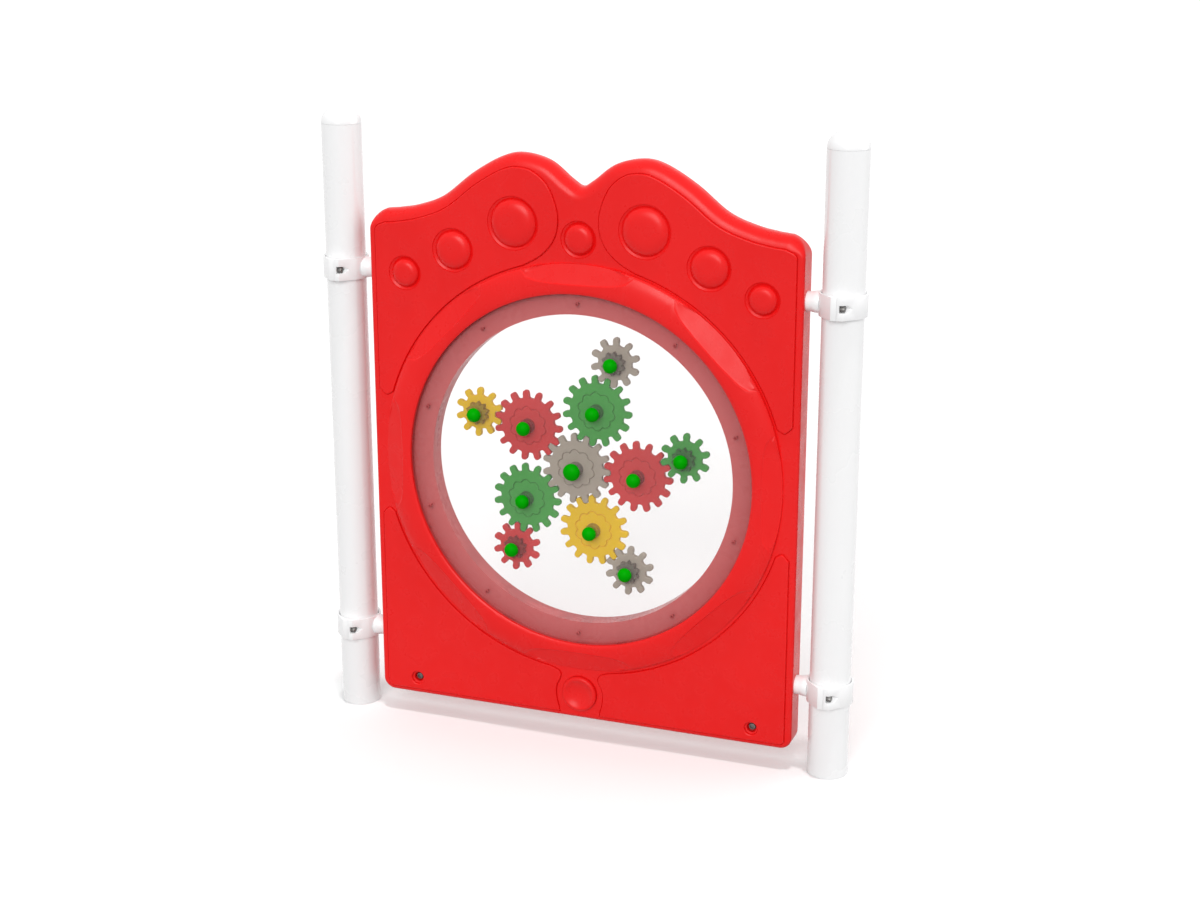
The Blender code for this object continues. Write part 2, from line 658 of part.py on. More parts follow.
def build_clamp_half(name, side, post_side, z, arm, material):
    """side is the side of the post it grips; arm is the length from the post axis, or 0."""
    plan = clamp_plan()
    half = CLAMP_HEIGHT / 2
    rings = [[(p.x, p.y, level) for p in plan] for level in (-half, half)]
    clamp = new_object(name, add_rings(bmesh.new(), rings), material)
    edge = CLAMP_SPLIT / 2
    if arm:
        start = POST_RADIUS + FIT_CLEARANCE + 0.0025
        body = bmesh.new()
        stations = ((start, half - 0.0006), (start + 0.007, half - 0.0006), (start + 0.020, ARM_RADIUS),
                    (arm, ARM_RADIUS))
        rings = []
        for x, radius in stations:
            rings.append([(x, p[0], p[1]) for p in circle(radius, ARM_SIDES)])
        combine(clamp, "UNION", add_rings(body, rings))
        bore = [[(p[0], p[1], level) for p in circle(POST_RADIUS + FIT_CLEARANCE, POST_SIDES)]
                for level in (-half - 0.01, half + 0.01)]
        combine(clamp, "DIFFERENCE", add_rings(bmesh.new(), bore))
    cuts = bmesh.new()
    seat = edge + EAR_WIDTH - CLAMP_BOLT_HEAD_HEIGHT * 0.4
    for y in (-ear_bolt_y(), ear_bolt_y()):
        rings = []
        hole = around(CLAMP_BOLT_RADIUS, 8)
        pocket = around(CLAMP_BOLT_HEAD, 8)
        for x, radius in ((edge - 0.01, hole), (seat, hole), (seat, pocket), (seat + 0.05, pocket)):
            rings.append([(x, y + p[0], p[1]) for p in circle(radius, 8, 22.5)])
        add_rings(cuts, rings)
    combine(clamp, "DIFFERENCE", cuts)
    clamp.data.transform(Matrix.Scale(side, 4, Vector((1, 0, 0))))
    if side < 0:
        clamp.data.flip_normals()
    clamp.location = (post_side * POST_X, 0.0, WINDOW_Z + z)
    return clamp


def build_clamp_bolt(name, post_side, y, z, material):
    """Bolt along X with its head in one ear's pocket and its nut in the other's."""
    seat = CLAMP_SPLIT / 2 + EAR_WIDTH - CLAMP_BOLT_HEAD_HEIGHT * 0.4 + FIT_CLEARANCE
    rings = []
    for x, radius in (
        (-seat - CLAMP_BOLT_HEAD_HEIGHT, CLAMP_BOLT_HEAD),
        (-seat, CLAMP_BOLT_HEAD),
        (-seat, CLAMP_BOLT_RADIUS),
        (seat, CLAMP_BOLT_RADIUS),
        (seat, CLAMP_BOLT_HEAD),
        (seat + CLAMP_BOLT_HEAD_HEIGHT, CLAMP_BOLT_HEAD),
    ):
        rings.append([(x, p[0], p[1]) for p in circle(radius, 6)])
    bolt = new_object(name, add_rings(bmesh.new(), rings), material)
    bolt.location = (post_side * POST_X, y, WINDOW_Z + z)
    return bolt


for old in list(bpy.data.objects):
    bpy.data.objects.remove(old, do_unlink=True)

RED = (0.78, 0.020, 0.022)
GREEN = (0.03, 0.30, 0.07)
YELLOW = (0.75, 0.52, 0.05)
GREY = (0.36, 0.32, 0.28)
KNOB_GREEN = (0.0, 0.36, 0.0)
WHITE = (0.86, 0.86, 0.86)
GEAR_COLOURS = {
    "centre": GREY, "ring_1": GREEN, "ring_2": RED, "ring_3": YELLOW, "ring_4": GREEN, "ring_5": RED,
    "outer_1": GREY, "outer_2": GREEN, "outer_3": GREY, "outer_4": RED, "outer_5": YELLOW,
}

panel_body = build_panel(new_material("panel_red", RED, 0.42))
front_window = build_window("front_window", FRONT_WINDOW_FACE, FRONT_WINDOW_BACK,
                            new_material("front_window_clear", (0.9, 0.95, 0.95), 0.05, alpha=0.25))
rear_window = build_window("rear_window", REAR_WINDOW_FACE, REAR_WINDOW_BACK,
                           new_material("rear_window_clear", (0.9, 0.95, 0.95), 0.05, alpha=0.25))
for fixed in (panel_body, front_window, rear_window):
    fixed.location = (0.0, 0.0, WINDOW_Z)
for word, x in (("left", -BOLT_X), ("right", BOLT_X)):
    label = "corner_bolt_" + word
    build_corner_bolt(label, x, new_material(label + "_steel", (0.45, 0.45, 0.45), 0.35, 0.9))

for name, teeth, spot, phase in GEARS:
    pivot = bpy.data.objects.new("pivot_" + name, None)
    bpy.context.scene.collection.objects.link(pivot)
    pivot.location = (spot.x, GEAR_Y, WINDOW_Z + spot.y)
    pivot.rotation_euler = (0.0, -math.radians(phase), 0.0)
    gear = build_gear(name, teeth, new_material("gear_" + name + "_plastic", GEAR_COLOURS[name], 0.4))
    axle = build_axle(name, new_material("axle_" + name + "_plastic", KNOB_GREEN, 0.35))
    knob = build_knob(name, new_material("knob_" + name + "_plastic", KNOB_GREEN, 0.3))
    for piece in (gear, axle, knob):
        piece.parent = pivot

for post_side, word in ((-1, "left"), (1, "right")):
    build_post("post_" + word, post_side * POST_X, new_material("post_" + word + "_paint", WHITE, 0.3))
    build_post_cap("post_cap_" + word, post_side * POST_X, new_material("cap_" + word + "_paint", WHITE, 0.3))
    for z, level in ((CLAMP_RISE, "upper"), (-CLAMP_FALL, "lower")):
        label = f"clamp_{word}_{level}"
        paint = new_material(label + "_inner_paint", WHITE, 0.3)
        build_clamp_half(label + "_inner", -post_side, post_side, z, POST_GAP + ARM_INSERT, paint)
        paint = new_material(label + "_outer_paint", WHITE, 0.3)
        build_clamp_half(label + "_outer", post_side, post_side, z, 0.0, paint)
        for end, y in (("front", -ear_bolt_y()), ("back", ear_bolt_y())):
            steel = new_material(f"{label}_{end}_bolt_steel", (0.5, 0.5, 0.5), 0.35, 0.9)
            build_clamp_bolt(f"{label}_{end}_bolt", post_side, y, z, steel)
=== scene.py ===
"""Gear play panel: a moulded board clamped between two posts, with meshing gears
between clear windows. The script follows the panel as it is put together."""
import json
import math

import bmesh
import bpy
from mathutils import Matrix, Vector


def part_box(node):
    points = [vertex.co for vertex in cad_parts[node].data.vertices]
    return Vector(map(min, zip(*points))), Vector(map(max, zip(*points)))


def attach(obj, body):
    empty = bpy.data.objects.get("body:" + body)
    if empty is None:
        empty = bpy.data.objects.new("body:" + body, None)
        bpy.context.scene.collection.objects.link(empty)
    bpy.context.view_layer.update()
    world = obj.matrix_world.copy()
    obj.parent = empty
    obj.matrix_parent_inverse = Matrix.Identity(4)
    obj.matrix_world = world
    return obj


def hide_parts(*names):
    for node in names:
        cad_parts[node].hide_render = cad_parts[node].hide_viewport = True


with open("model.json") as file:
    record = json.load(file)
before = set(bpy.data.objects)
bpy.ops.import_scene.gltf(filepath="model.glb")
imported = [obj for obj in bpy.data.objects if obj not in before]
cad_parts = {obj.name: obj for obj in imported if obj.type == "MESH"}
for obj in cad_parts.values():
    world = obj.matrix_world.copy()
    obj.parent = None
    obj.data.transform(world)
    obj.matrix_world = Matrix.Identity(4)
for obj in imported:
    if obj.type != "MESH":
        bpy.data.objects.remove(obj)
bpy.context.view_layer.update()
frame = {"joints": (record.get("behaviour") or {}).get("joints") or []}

# The board is one hollow moulding of red polyethylene, about 64 mm thick, with rolled
# edges. A round bead frames the window hole, and raised fields and jewels stand on its
# front. The window sits on a ledge inside the bead.
axis_z = 0.6307684
half_thick = 0.032
opening_radius = 0.3492684
rim_radius = 0.3967684
bead_radius = 0.4597684
half_width = 0.4917684
board_foot = -0.5827684
board_head = bead_radius + 0.089
head_corner = 0.046
foot_corner = 0.027
side_margin = 0.0155
field_height = 0.0034
ledge_front = -0.0317
ledge_back = 0.0089


class Term:
    """A shader value that can be added, multiplied and compared like a number."""

    def __init__(self, paint, socket):
        self.paint = paint
        self.socket = socket

    def join(self, operation, *others):
        return self.paint.node("ShaderNodeMath", {"operation": operation}, (self, *others))

    def __add__(self, other):
        return self.join("ADD", other)

    def __sub__(self, other):
        return self.join("SUBTRACT", other)

    def __mul__(self, other):
        return self.join("MULTIPLY", other)

    def __rsub__(self, other):
        return (self * -1.0) + other

    def __gt__(self, other):
        return self.join("GREATER_THAN", other)

    def __lt__(self, other):
        return self.join("LESS_THAN", other)

    __radd__ = __add__
    __rmul__ = __mul__


class Paint:
    """A material with a Principled shader and the few patterns that the pieces use."""

    def __init__(self, name, colour, roughness, **sockets):
        self.material = bpy.data.materials.new(name)
        self.material.use_nodes = True
        self.tree = self.material.node_tree
        self.shader = self.tree.nodes["Principled BSDF"]
        self.set(Base_Color=(*colour, 1.0), Roughness=roughness, **sockets)
        self.place = self.node("ShaderNodeTexCoord", output="Object")

    def feed(self, socket, value):
        if isinstance(value, Term):
            self.tree.links.new(value.socket, socket)
        else:
            socket.default_value = value

    def set(self, **sockets):
        for name, value in sockets.items():
            self.feed(self.shader.inputs[name.replace("_", " ")], value)

    def node(self, kind, settings=None, values=(), output=0):
        made = self.tree.nodes.new(kind)
        for name, value in (settings or {}).items():
            setattr(made, name, value)
        pairs = values.items() if isinstance(values, dict) else enumerate(values)
        for name, value in pairs:
            self.feed(made.inputs[name], value)
        return Term(self, made.outputs[output])

    def noise(self, scale, detail, stretch=None):
        place = self.place
        if stretch:
            place = self.node("ShaderNodeMapping", {}, {"Vector": place, "Scale": stretch})
        return self.node("ShaderNodeTexNoise", {}, {"Vector": place, "Scale": scale, "Detail": detail})

    def ranged(self, value, low, high, to_low=0.0, to_high=1.0):
        settings = {"interpolation_type": "SMOOTHSTEP"}
        return self.node("ShaderNodeMapRange", settings, [value, low, high, to_low, to_high])

    def mixed(self, factor, first, second):
        pair = [c if isinstance(c, Term) else (*c, 1.0) for c in (first, second)]
        values = {0: factor, 6: pair[0], 7: pair[1]}
        return self.node("ShaderNodeMix", {"data_type": "RGBA"}, values, output=2)

    def bump(self, height, distance):
        self.set(Normal=self.node("ShaderNodeBump", {}, {"Height": height, "Distance": distance}))


def moulded(name, colour, shade, roughness, grain=700.0, depth=0.00012, specular=0.25):
    """Satin moulded plastic: a fine skin, faint clouding of the colour, and uneven gloss."""
    paint = Paint(name, colour, roughness, Specular_IOR_Level=specular)
    cloud = paint.ranged(paint.noise(3.2, 4.0), 0.35, 0.68)
    paint.hue = paint.mixed(cloud, colour, shade)
    paint.set(Base_Color=paint.hue)
    rub = paint.noise(26.0, 5.0)
    paint.set(Roughness=paint.ranged(rub, 0.3, 0.75, roughness - 0.05, roughness + 0.07))
    skin = paint.noise(grain, 2.0) + paint.noise(grain * 0.16, 3.0) * 0.8
    paint.bump(skin, depth)
    return paint


def polar(radius, degrees):
    return Vector((radius * math.cos(math.radians(degrees)), radius * math.sin(math.radians(degrees))))


def circle(radius, sides, phase=0.0):
    return [polar(radius, phase + 360.0 * i / sides) for i in range(sides)]


def skin_rings(bm, rings, loop=False):
    """Join equal rings of points, with flat ends unless they close in a loop."""
    made = [[bm.verts.new(p) for p in ring] for ring in rings]
    pairs = list(zip(made, made[1:]))
    if loop:
        pairs.append((made[-1], made[0]))
    for low, high in pairs:
        for i in range(len(low)):
            j = (i + 1) % len(low)
            bm.faces.new((low[i], low[j], high[j], high[i]))
    if not loop:
        bm.faces.new(made[0])
        bm.faces.new(made[-1])
    return bm


def lathe(bm, profile, sides, centre=(0.0, 0.0), axis="Y", loop=False, phase=0.0):
    """Turn (radius, height) points about a line along the axis through centre."""
    rings = []
    for radius, height in profile:
        ring = []
        for p in circle(radius, sides, phase):
            a = centre[0] + p[0]
            b = centre[1] + p[1]
            ring.append({"X": (height, a, b), "Y": (a, height, b), "Z": (a, b, height)}[axis])
        rings.append(ring)
    return skin_rings(bm, rings, loop)


corner_angle = 28.0


def shape(name, bm, material):
    """Make the object of a mesh, smooth except at its real corners."""
    bmesh.ops.recalc_face_normals(bm, faces=bm.faces)
    mesh = bpy.data.meshes.new(name)
    bm.to_mesh(mesh)
    bm.free()
    if material:
        mesh.materials.append(material)
    mesh.shade_smooth()
    mesh.set_sharp_from_angle(angle=math.radians(corner_angle))
    made = bpy.data.objects.new(name, mesh)
    bpy.context.scene.collection.objects.link(made)
    return made


def keep_result(made):
    """Turn what the modifiers make of an object into its own mesh."""
    graph = bpy.context.evaluated_depsgraph_get()
    mesh = bpy.data.meshes.new_from_object(made.evaluated_get(graph))
    made.modifiers.clear()
    made.data = mesh


def level_faces(made):
    """Let broad flat faces keep their own normal where a rounded edge runs into them."""
    step = made.modifiers.new("level", "WEIGHTED_NORMAL")
    step.keep_sharp = True
    keep_result(made)


def settle(made, sharp=corner_angle):
    """Keep the result of the modifiers, smooth except at its real corners."""
    keep_result(made)
    made.data.shade_smooth()
    made.data.set_sharp_from_angle(angle=math.radians(sharp))
    return made


def carve(made, operation, bm, sharp=corner_angle):
    """Add or cut away the bodies of bm."""
    tool = shape("tool", bm, None)
    step = made.modifiers.new("step", "BOOLEAN")
    step.operation = operation
    step.solver = "EXACT"
    step.object = tool
    settle(made, sharp)
    bpy.data.objects.remove(tool)


def stand_for(made, body, slot, *nodes):
    """A finished piece moves with its body and stands for its CAD nodes."""
    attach(made, body)
    if nodes:
        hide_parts(*nodes)


def spline(points, steps):
    """A smooth curve through the points, with some steps between each two."""
    points = [Vector(p) for p in points]
    padded = [2 * points[0] - points[1], *points, 2 * points[-1] - points[-2]]
    curve = []
    for a, b, c, d in zip(padded, padded[1:], padded[2:], padded[3:]):
        for i in range(steps):
            t = i / steps
            curve.append(0.5 * (2 * b + (c - a) * t + (2 * a - 5 * b + 4 * c - d) * t * t
                                + (3 * b - a - 3 * c + d) * t ** 3))
    return [*curve, points[-1]]


def offset(points, distance):
    """Move an outline inwards along its normals, by one distance or one for each point."""
    moved = []
    amounts = distance if isinstance(distance, list) else [distance] * len(points)
    for i, (point, amount) in enumerate(zip(points, amounts)):
        before = (point - points[i - 1]).normalized()
        after = (points[(i + 1) % len(points)] - point).normalized()
        normal = Vector((-(before + after).y, (before + after).x)).normalized()
        lean = max(0.6, normal.dot(Vector((-after.y, after.x))))
        moved.append(point + normal * amount / lean)
    return moved


def thinned(points, gap):
    """Leave out the points that an offset has crowded together."""
    kept = [points[0]]
    for point in points[1:]:
        if (point - kept[-1]).length > gap:
            kept.append(point)
    return kept


def board_outline():
    """Outline of the board about the window's axis, counterclockwise from the foot's middle."""
    top = board_head
    lobe_x = 0.136
    lobe = bead_radius + 0.225
    foot = Vector((half_width - foot_corner, board_foot + foot_corner))
    head = Vector((half_width - head_corner, top - head_corner))
    half = [Vector((0.0, board_foot)), Vector((0.25, board_foot))]
    half += [foot + polar(foot_corner, -90 + 7.5 * i) for i in range(13)]
    half += [head + polar(head_corner, 6.25 * i) for i in range(13)]
    half += spline([
        (half_width - head_corner - 0.014, top + 0.0010),
        (half_width - 0.110, bead_radius + 0.100),
        (lobe_x + 0.184, bead_radius + 0.124),
        (lobe_x + 0.116, lobe - 0.049),
        (lobe_x + 0.050, lobe - 0.011),
        (lobe_x, lobe),
        (lobe_x - 0.061, lobe - 0.014),
        (0.026, bead_radius + 0.175),
        (0.0, bead_radius + 0.161),
        (-0.026, bead_radius + 0.175),
    ], 9)[:-9]
    return half + [Vector((-p.x, p.y)) for p in reversed(half[1:-1])]


def along_edge(foot, side, head):
    """A width for each point of the outline, easing from foot to sides to head."""
    widths = []
    for p in board_outline():
        up = min(1.0, max(0.0, (p.y - board_head + head_corner) / (head_corner * 0.9)))
        down = min(1.0, max(0.0, (board_foot + foot_corner - p.y) / foot_corner))
        rise = up * up * (3 - 2 * up)
        fall = down * down * (3 - 2 * down)
        widths.append(side + (head - side) * rise + (foot - side) * fall)
    return widths


tongue_angle = 17.6
upper_gap = 0.0055
lower_gap = 0.0095
arc_steps = 44


def field_outlines():
    """Upper and lower raised field on the right-hand side."""
    reach = bead_radius + upper_gap
    side = half_width - side_margin
    margins = along_edge(foot=0.012, side=side_margin, head=0.0275)
    inset = thinned(offset(board_outline(), margins), 0.0022)
    upper_edge = [p for p in inset if p.y > 0 and p.x > 0.104]
    join = math.degrees(math.acos(0.128 / reach))
    lobe_side = spline([
        upper_edge[-1],
        *((x, bead_radius + rise) for x, rise in (
            (0.0860, 0.1795), (0.0675, 0.159), (0.0535, 0.128), (0.0465, 0.095),
            (0.0505, 0.061), (0.065, 0.033), (0.088, 0.0105), (0.110, -0.0030))),
        polar(reach, join),
    ], 5)[1:]
    arc = [polar(reach, join + (tongue_angle - join) * i / arc_steps) for i in range(1, arc_steps + 1)]
    tongue = arc[-1]
    tip = spline([
        tongue, ((tongue.x + side) / 2, tongue.y - 0.008), (side, tongue.y + 0.006),
    ], 6)[1:]
    upper = tip + upper_edge + lobe_side + arc
    reach = bead_radius + lower_gap
    neck = math.degrees(math.asin(0.070 / reach))
    lower_edge = [p for p in inset if p.y < 0 and p.x > 0.052]
    boss_side = spline([
        polar(reach, neck - 90),
        *((x, -bead_radius - drop) for x, drop in (
            (0.0575, 0.0085), (0.0485, 0.0135), (0.0445, 0.0225), (0.0476, 0.034), (0.0540, 0.047),
            (0.0563, 0.063), (0.0545, 0.082), (0.0500, 0.100))),
        (0.0480, board_foot + 0.012),
    ], 4)
    sweep = neck - 90.0 + tongue_angle
    arc = [polar(reach, -tongue_angle + sweep * i / arc_steps) for i in range(arc_steps)]
    tongue = arc[0]
    tip = spline([
        (side, tongue.y - 0.006), ((tongue.x + side) / 2, tongue.y + 0.008), tongue,
    ], 6)[:-1]
    lower = boss_side + lower_edge + tip + arc
    return upper, lower


jewels = [(0.0355, 0.0, bead_radius + 0.0512)]
for radius, rise, lean in ((0.0535, 0.0975, 15.5), (0.0435, 0.0922, 31.7), (0.0335, 0.1185, 44.6)):
    spot = polar(bead_radius + rise, 90.0 - lean)
    jewels += [(radius, spot.x, spot.y), (radius, -spot.x, spot.y)]
boss_z = -(bead_radius + 0.062)
bolt_x = half_width - 0.090
bolt_z = board_foot + 0.040

# The red keeps its own colour in the open. Behind the front window it is painted darker and greyer: painted
# shade, darkest by the bead, with a pale painted veil for the window's reflection.
red = moulded("red_polyethylene", (0.83, 0.008, 0.008), (0.79, 0.006, 0.006), 0.30, 500.0, 0.00005,
              specular=0.27)
across = red.node("ShaderNodeSeparateXYZ", {}, [red.place], output="X")
deep = red.node("ShaderNodeSeparateXYZ", {}, [red.place], output="Y")
high = red.node("ShaderNodeSeparateXYZ", {}, [red.place], output="Z") - axis_z
apart = (across * across + high * high).join("SQRT")
covered = (deep > -0.043) * (apart < rim_radius + 0.0006)
# Painted shade: darker towards the bead and lighter towards the opening.
tone = red.ranged(apart, opening_radius, rim_radius)
window_shade_and_veil = red.mixed(tone, (0.54, 0.090, 0.090), (0.44, 0.056, 0.058))
red.set(Base_Color=red.mixed(covered, red.hue, window_shade_and_veil))
polyethylene = red.material

outline = board_outline()
rolls = along_edge(foot=0.010, side=0.0075, head=0.0285)
turns = [math.radians(7.5 * i) for i in range(13)]
rings = []
for sign, angles in ((-1, turns), (1, turns[::-1])):
    for angle in angles:
        inset = offset(outline, [r * (1 - math.sin(angle)) for r in rolls])
        rings.append([(p.x, sign * (half_thick - r * (1 - math.cos(angle))), p.y)
                      for p, r in zip(inset, rolls)])
board = shape("board", skin_rings(bmesh.new(), rings), polyethylene)

# Section of the bead as (share of its width, share of its height), from its outer foot. Eight
# lens-shaped flats lean outwards along its rim, each let in by a small step.
bead_width = bead_radius - rim_radius
bead_height = 0.020
crown = spline([
    (0.0, 0.42), (0.05, 0.56), (0.15, 0.70), (0.30, 0.84), (0.50, 0.945), (0.70, 0.995), (0.85, 1.0),
    (0.94, 0.965), (1.0, 0.88), (1.08, 0.72),
], 4)
lens_pitch = 360.0 / 8
lens_lean = math.tan(math.radians(18.0))
lens_radius = 0.4195
lens_height = 0.0187
lens_step = 0.0016
lens_blend = 0.0006


def crown_height(radius):
    """Height of the bead's rounded top at a radius."""
    share = (bead_radius - radius) / bead_width
    for low, high in zip(crown, crown[1:]):
        if share <= high.x:
            return bead_height * (low.y + (high.y - low.y) * (share - low.x) / (high.x - low.x))
    return bead_height * crown[-1].y


def flat_height(radius, degrees):
    """Height of a flat's plane, some degrees from the flat's middle."""
    return lens_height - lens_lean * (radius * math.cos(math.radians(degrees)) - lens_radius)


def bead_height_at(radius, degrees):
    """Height of the bead, lower by the small step where a flat cuts its top."""
    full = crown_height(radius)
    over = full - flat_height(radius, degrees)
    if over <= 0.0:
        return full
    share = min(1.0, over / lens_blend)
    return full - over - lens_step * share * share * (3 - 2 * share)


# Each column is one section of the bead, with its points close together at the step.
column_count = 288
inner_wall = rim_radius - 0.012
columns = []
for i in range(column_count):
    around = 360.0 * i / column_count
    lean = (around + lens_pitch / 2) % lens_pitch - lens_pitch / 2
    low, high = rim_radius, bead_radius - 0.0048
    for _ in range(30):
        middle = (low + high) / 2
        if crown_height(middle) > flat_height(middle, lean):
            high = middle
        else:
            low = middle
    outside = bead_radius - (high + 0.0028)
    inside = high - lens_blend - (rim_radius - 0.004)
    radii = [bead_radius - outside * share
             for share in (0.0, 0.02, 0.045, 0.08, 0.13, 0.20, 0.30, 0.42, 0.56, 0.70, 0.84, 0.94)]
    radii += [high + gap for gap in (0.0024, 0.0020, 0.0015, 0.0010, 0.0005, 0.0, -0.0005)]
    radii += [high - lens_blend - inside * share
              for share in (0.04, 0.09, 0.15, 0.22, 0.30, 0.38, 0.46, 0.54,
                            0.62, 0.70, 0.78, 0.85, 0.91, 0.95, 0.975, 1.0)]
    column = [(inner_wall, 0.008 - half_thick), (bead_radius, 0.008 - half_thick)]
    column += [(radius, -half_thick - bead_height_at(radius, lean)) for radius in radii]
    column.append((inner_wall, -half_thick - 0.0135))
    columns.append([(polar(radius, around).x, y, polar(radius, around).y) for radius, y in column])
carve(board, "UNION", skin_rings(bmesh.new(), list(zip(*columns)), loop=True))

# A fine groove runs round each field, whose own edge is rounded.
groove_width = 0.0021
groove_foot = 0.0007
groove_depth = 0.0024
field_round = 0.0024
clear_y = -0.060
grooves = bmesh.new()
fields = bmesh.new()
for outline in field_outlines():
    for mirror in (1, -1):
        edge = outline if mirror == 1 else [Vector((-p.x, p.y)) for p in reversed(outline)]
        wide = offset(edge, -groove_width)
        low = [(p.x, groove_depth - half_thick, p.y) for p in offset(edge, -groove_foot)]
        skin_rings(grooves, [[(p.x, y, p.y) for p in wide] for y in (clear_y, -half_thick)] + [low])
        rings = [[(p.x, 0.006 - half_thick, p.y) for p in edge]]
        for turn in (0, 30, 60, 90):
            angle = math.radians(turn)
            drop = field_round * (1 - math.sin(angle))
            rings.append([(p.x, drop - half_thick - field_height, p.y)
                          for p in offset(edge, field_round * (1 - math.cos(angle)))])
        skin_rings(fields, rings)
carve(board, "DIFFERENCE", grooves)
carve(board, "UNION", fields)

# Each jewel and the boss stand in a round recess, and the bolts lie in a counterbore. The
# middle jewel is on the plain board and the others are on the fields.
jewel_sides = 72


def face_under(x):
    """Level of the face that a jewel stands on."""
    return -half_thick - (0.0 if x == 0.0 else field_height)


cuts = bmesh.new()
for radius, x, z in jewels:
    face_y = face_under(x)
    lathe(cuts, [
        (radius + 0.0052, clear_y), (radius + 0.0052, face_y - 0.0001), (radius + 0.0047, face_y + 0.0004),
        (radius + 0.0042, face_y + 0.0016), (radius + 0.0036, face_y + 0.0023),
        (radius - 0.0004, face_y + 0.0045), (radius - 0.0018, face_y + 0.0054),
    ], jewel_sides, (x, z))
lathe(cuts, [(0.042, clear_y), (0.042, 0.002 - half_thick)], jewel_sides, (0.0, boss_z))
face_y = -half_thick - field_height
for x in (-bolt_x, bolt_x):
    lathe(cuts, [
        (0.0172, clear_y), (0.0172, face_y), (0.0158, face_y + 0.0006), (0.0150, face_y + 0.0018),
        (0.0147, 0.0024 - half_thick), (0.0138, 0.0032 - half_thick), (0.0116, 0.0038 - half_thick),
        (0.0106, 0.0050 - half_thick), (0.0104, 0.014 - half_thick), (0.0053, 0.014 - half_thick),
        (0.0053, 0.0443 - half_thick),
    ], 48, (x, bolt_z))
carve(board, "DIFFERENCE", cuts)

dome_rise = 0.0104
domes = bmesh.new()
for radius, x, z in jewels:
    foot_y = face_under(x) + 0.0034
    rim = radius - 0.0020
    profile = [(rim, face_under(x) + 0.0085), (rim, foot_y)]
    for share in (0.98, 0.95, 0.91, 0.86, 0.80, 0.72, 0.62, 0.50, 0.35, 0.18, 0.006):
        profile.append((rim * share, foot_y - dome_rise * (1 - share ** 5.5)))
    lathe(domes, profile, jewel_sides, (x, z))
rim_y = -half_thick - 0.009
lathe(domes, [
    (0.041, 0.006 - half_thick), (0.041, rim_y + 0.0050), (0.0404, rim_y + 0.0028), (0.0388, rim_y + 0.0010),
    (0.0366, rim_y + 0.0002), (0.0345, rim_y), (0.0325, rim_y + 0.0006), (0.0300, rim_y + 0.0022),
    (0.0250, rim_y + 0.0046), (0.0180, rim_y + 0.0068), (0.0100, rim_y + 0.0082), (0.0003, rim_y + 0.0088),
], jewel_sides, (0.0, boss_z))
carve(board, "UNION", domes)

hole = lathe(bmesh.new(), [
    (rim_radius, -0.072), (rim_radius, ledge_front), (opening_radius, ledge_front),
    (opening_radius, ledge_back), (rim_radius, ledge_back), (rim_radius, 0.042),
], 192, phase=0.9)
carve(board, "DIFFERENCE", hole)
clamp_levels = (("upper", 0.411), ("lower", -0.438))
arm_radius = 0.021
seat_gap = 0.0003
sockets = bmesh.new()
for side in (-1, 1):
    for _, z in clamp_levels:
        ring = [(p[0], z + p[1]) for p in circle(arm_radius + seat_gap, 48)]
        skin_rings(sockets, [[(side * reach, *p) for p in ring] for reach in (half_width + 0.010, 0.4675)])
carve(board, "DIFFERENCE", sockets, sharp=11.5)
level_faces(board)
board.data.transform(Matrix.Translation((0.0, 0.0, axis_z)))
stand_for(board, "frame", "panel_red", "panel_body")

# Each window is a disc of clear polycarbonate, 9.5 mm thick, with a polished rim. The
# front one lies on the ledge and the rear one behind it. Eleven holes carry the axles.
wheels = []
for joint in frame["joints"]:
    name = joint["name"][:-5]
    x, y, z = joint["pos_m"]
    low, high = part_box("gear_" + name)
    wheels.append((name, x, y, z, max(high.x - low.x, high.z - low.z) / 2))

axle_hole = 0.009
clear = Paint("clear_polycarbonate", (0.80, 0.72, 0.72), 0.06, IOR=1.58, Alpha=0.04)
scuffs = clear.noise(60.0, 5.0, (1.0, 1.0, 7.0))
clear.set(Roughness=clear.ranged(scuffs, 0.45, 0.8, 0.05, 0.16))
clear.set(Alpha=clear.ranged(clear.noise(4.0, 3.0), 0.3, 0.7, 0.034, 0.044))
for name, node in (("front_pane", "front_window"), ("rear_pane", "rear_window")):
    low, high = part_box(node)
    radius = (high.x - low.x) / 2
    lip = 0.0008
    pane = lathe(bmesh.new(), [
        (radius - lip, low.y), (radius - lip * 0.3, low.y + lip * 0.3), (radius, low.y + lip),
        (radius, high.y - lip), (radius - lip * 0.3, high.y - lip * 0.3), (radius - lip, high.y),
    ], 160)
    pane = shape(name, pane, clear.material)
    bores = bmesh.new()
    for _, x, _, z, _ in wheels:
        lathe(bores, [(axle_hole, low.y - 0.01), (axle_hole, high.y + 0.01)], 32, (x, z - axis_z))
    carve(pane, "DIFFERENCE", bores)
    pane.data.transform(Matrix.Translation((0.0, 0.0, axis_z)))
    stand_for(pane, "frame", "window_clear", node)

# Ten small pan head screws hold each window to the ledge. Their heads are painted the darker, greyer red of
# the shaded ledge, which is painted shade, and their cross recess is painted near black as painted shade;
# those behind stand half a step round.
# Screw heads: painted shade, in the tone of the shaded ledge behind the window.
screw_shade_paint = moulded("screw_head_painted_shade", (0.40, 0.062, 0.063), (0.35, 0.050, 0.052), 0.40, 1500.0, 0.00004)
# Cross recess: painted shade, near black.
cross_recess_shade = moulded("screw_recess_painted_shade", (0.030, 0.012, 0.012), (0.022, 0.010, 0.010), 0.60, 1500.0, 0.00004)
screw_count = 10
screw_ring = rim_radius - 0.0225
cross_arm = 0.0012
cross_half = 0.00045


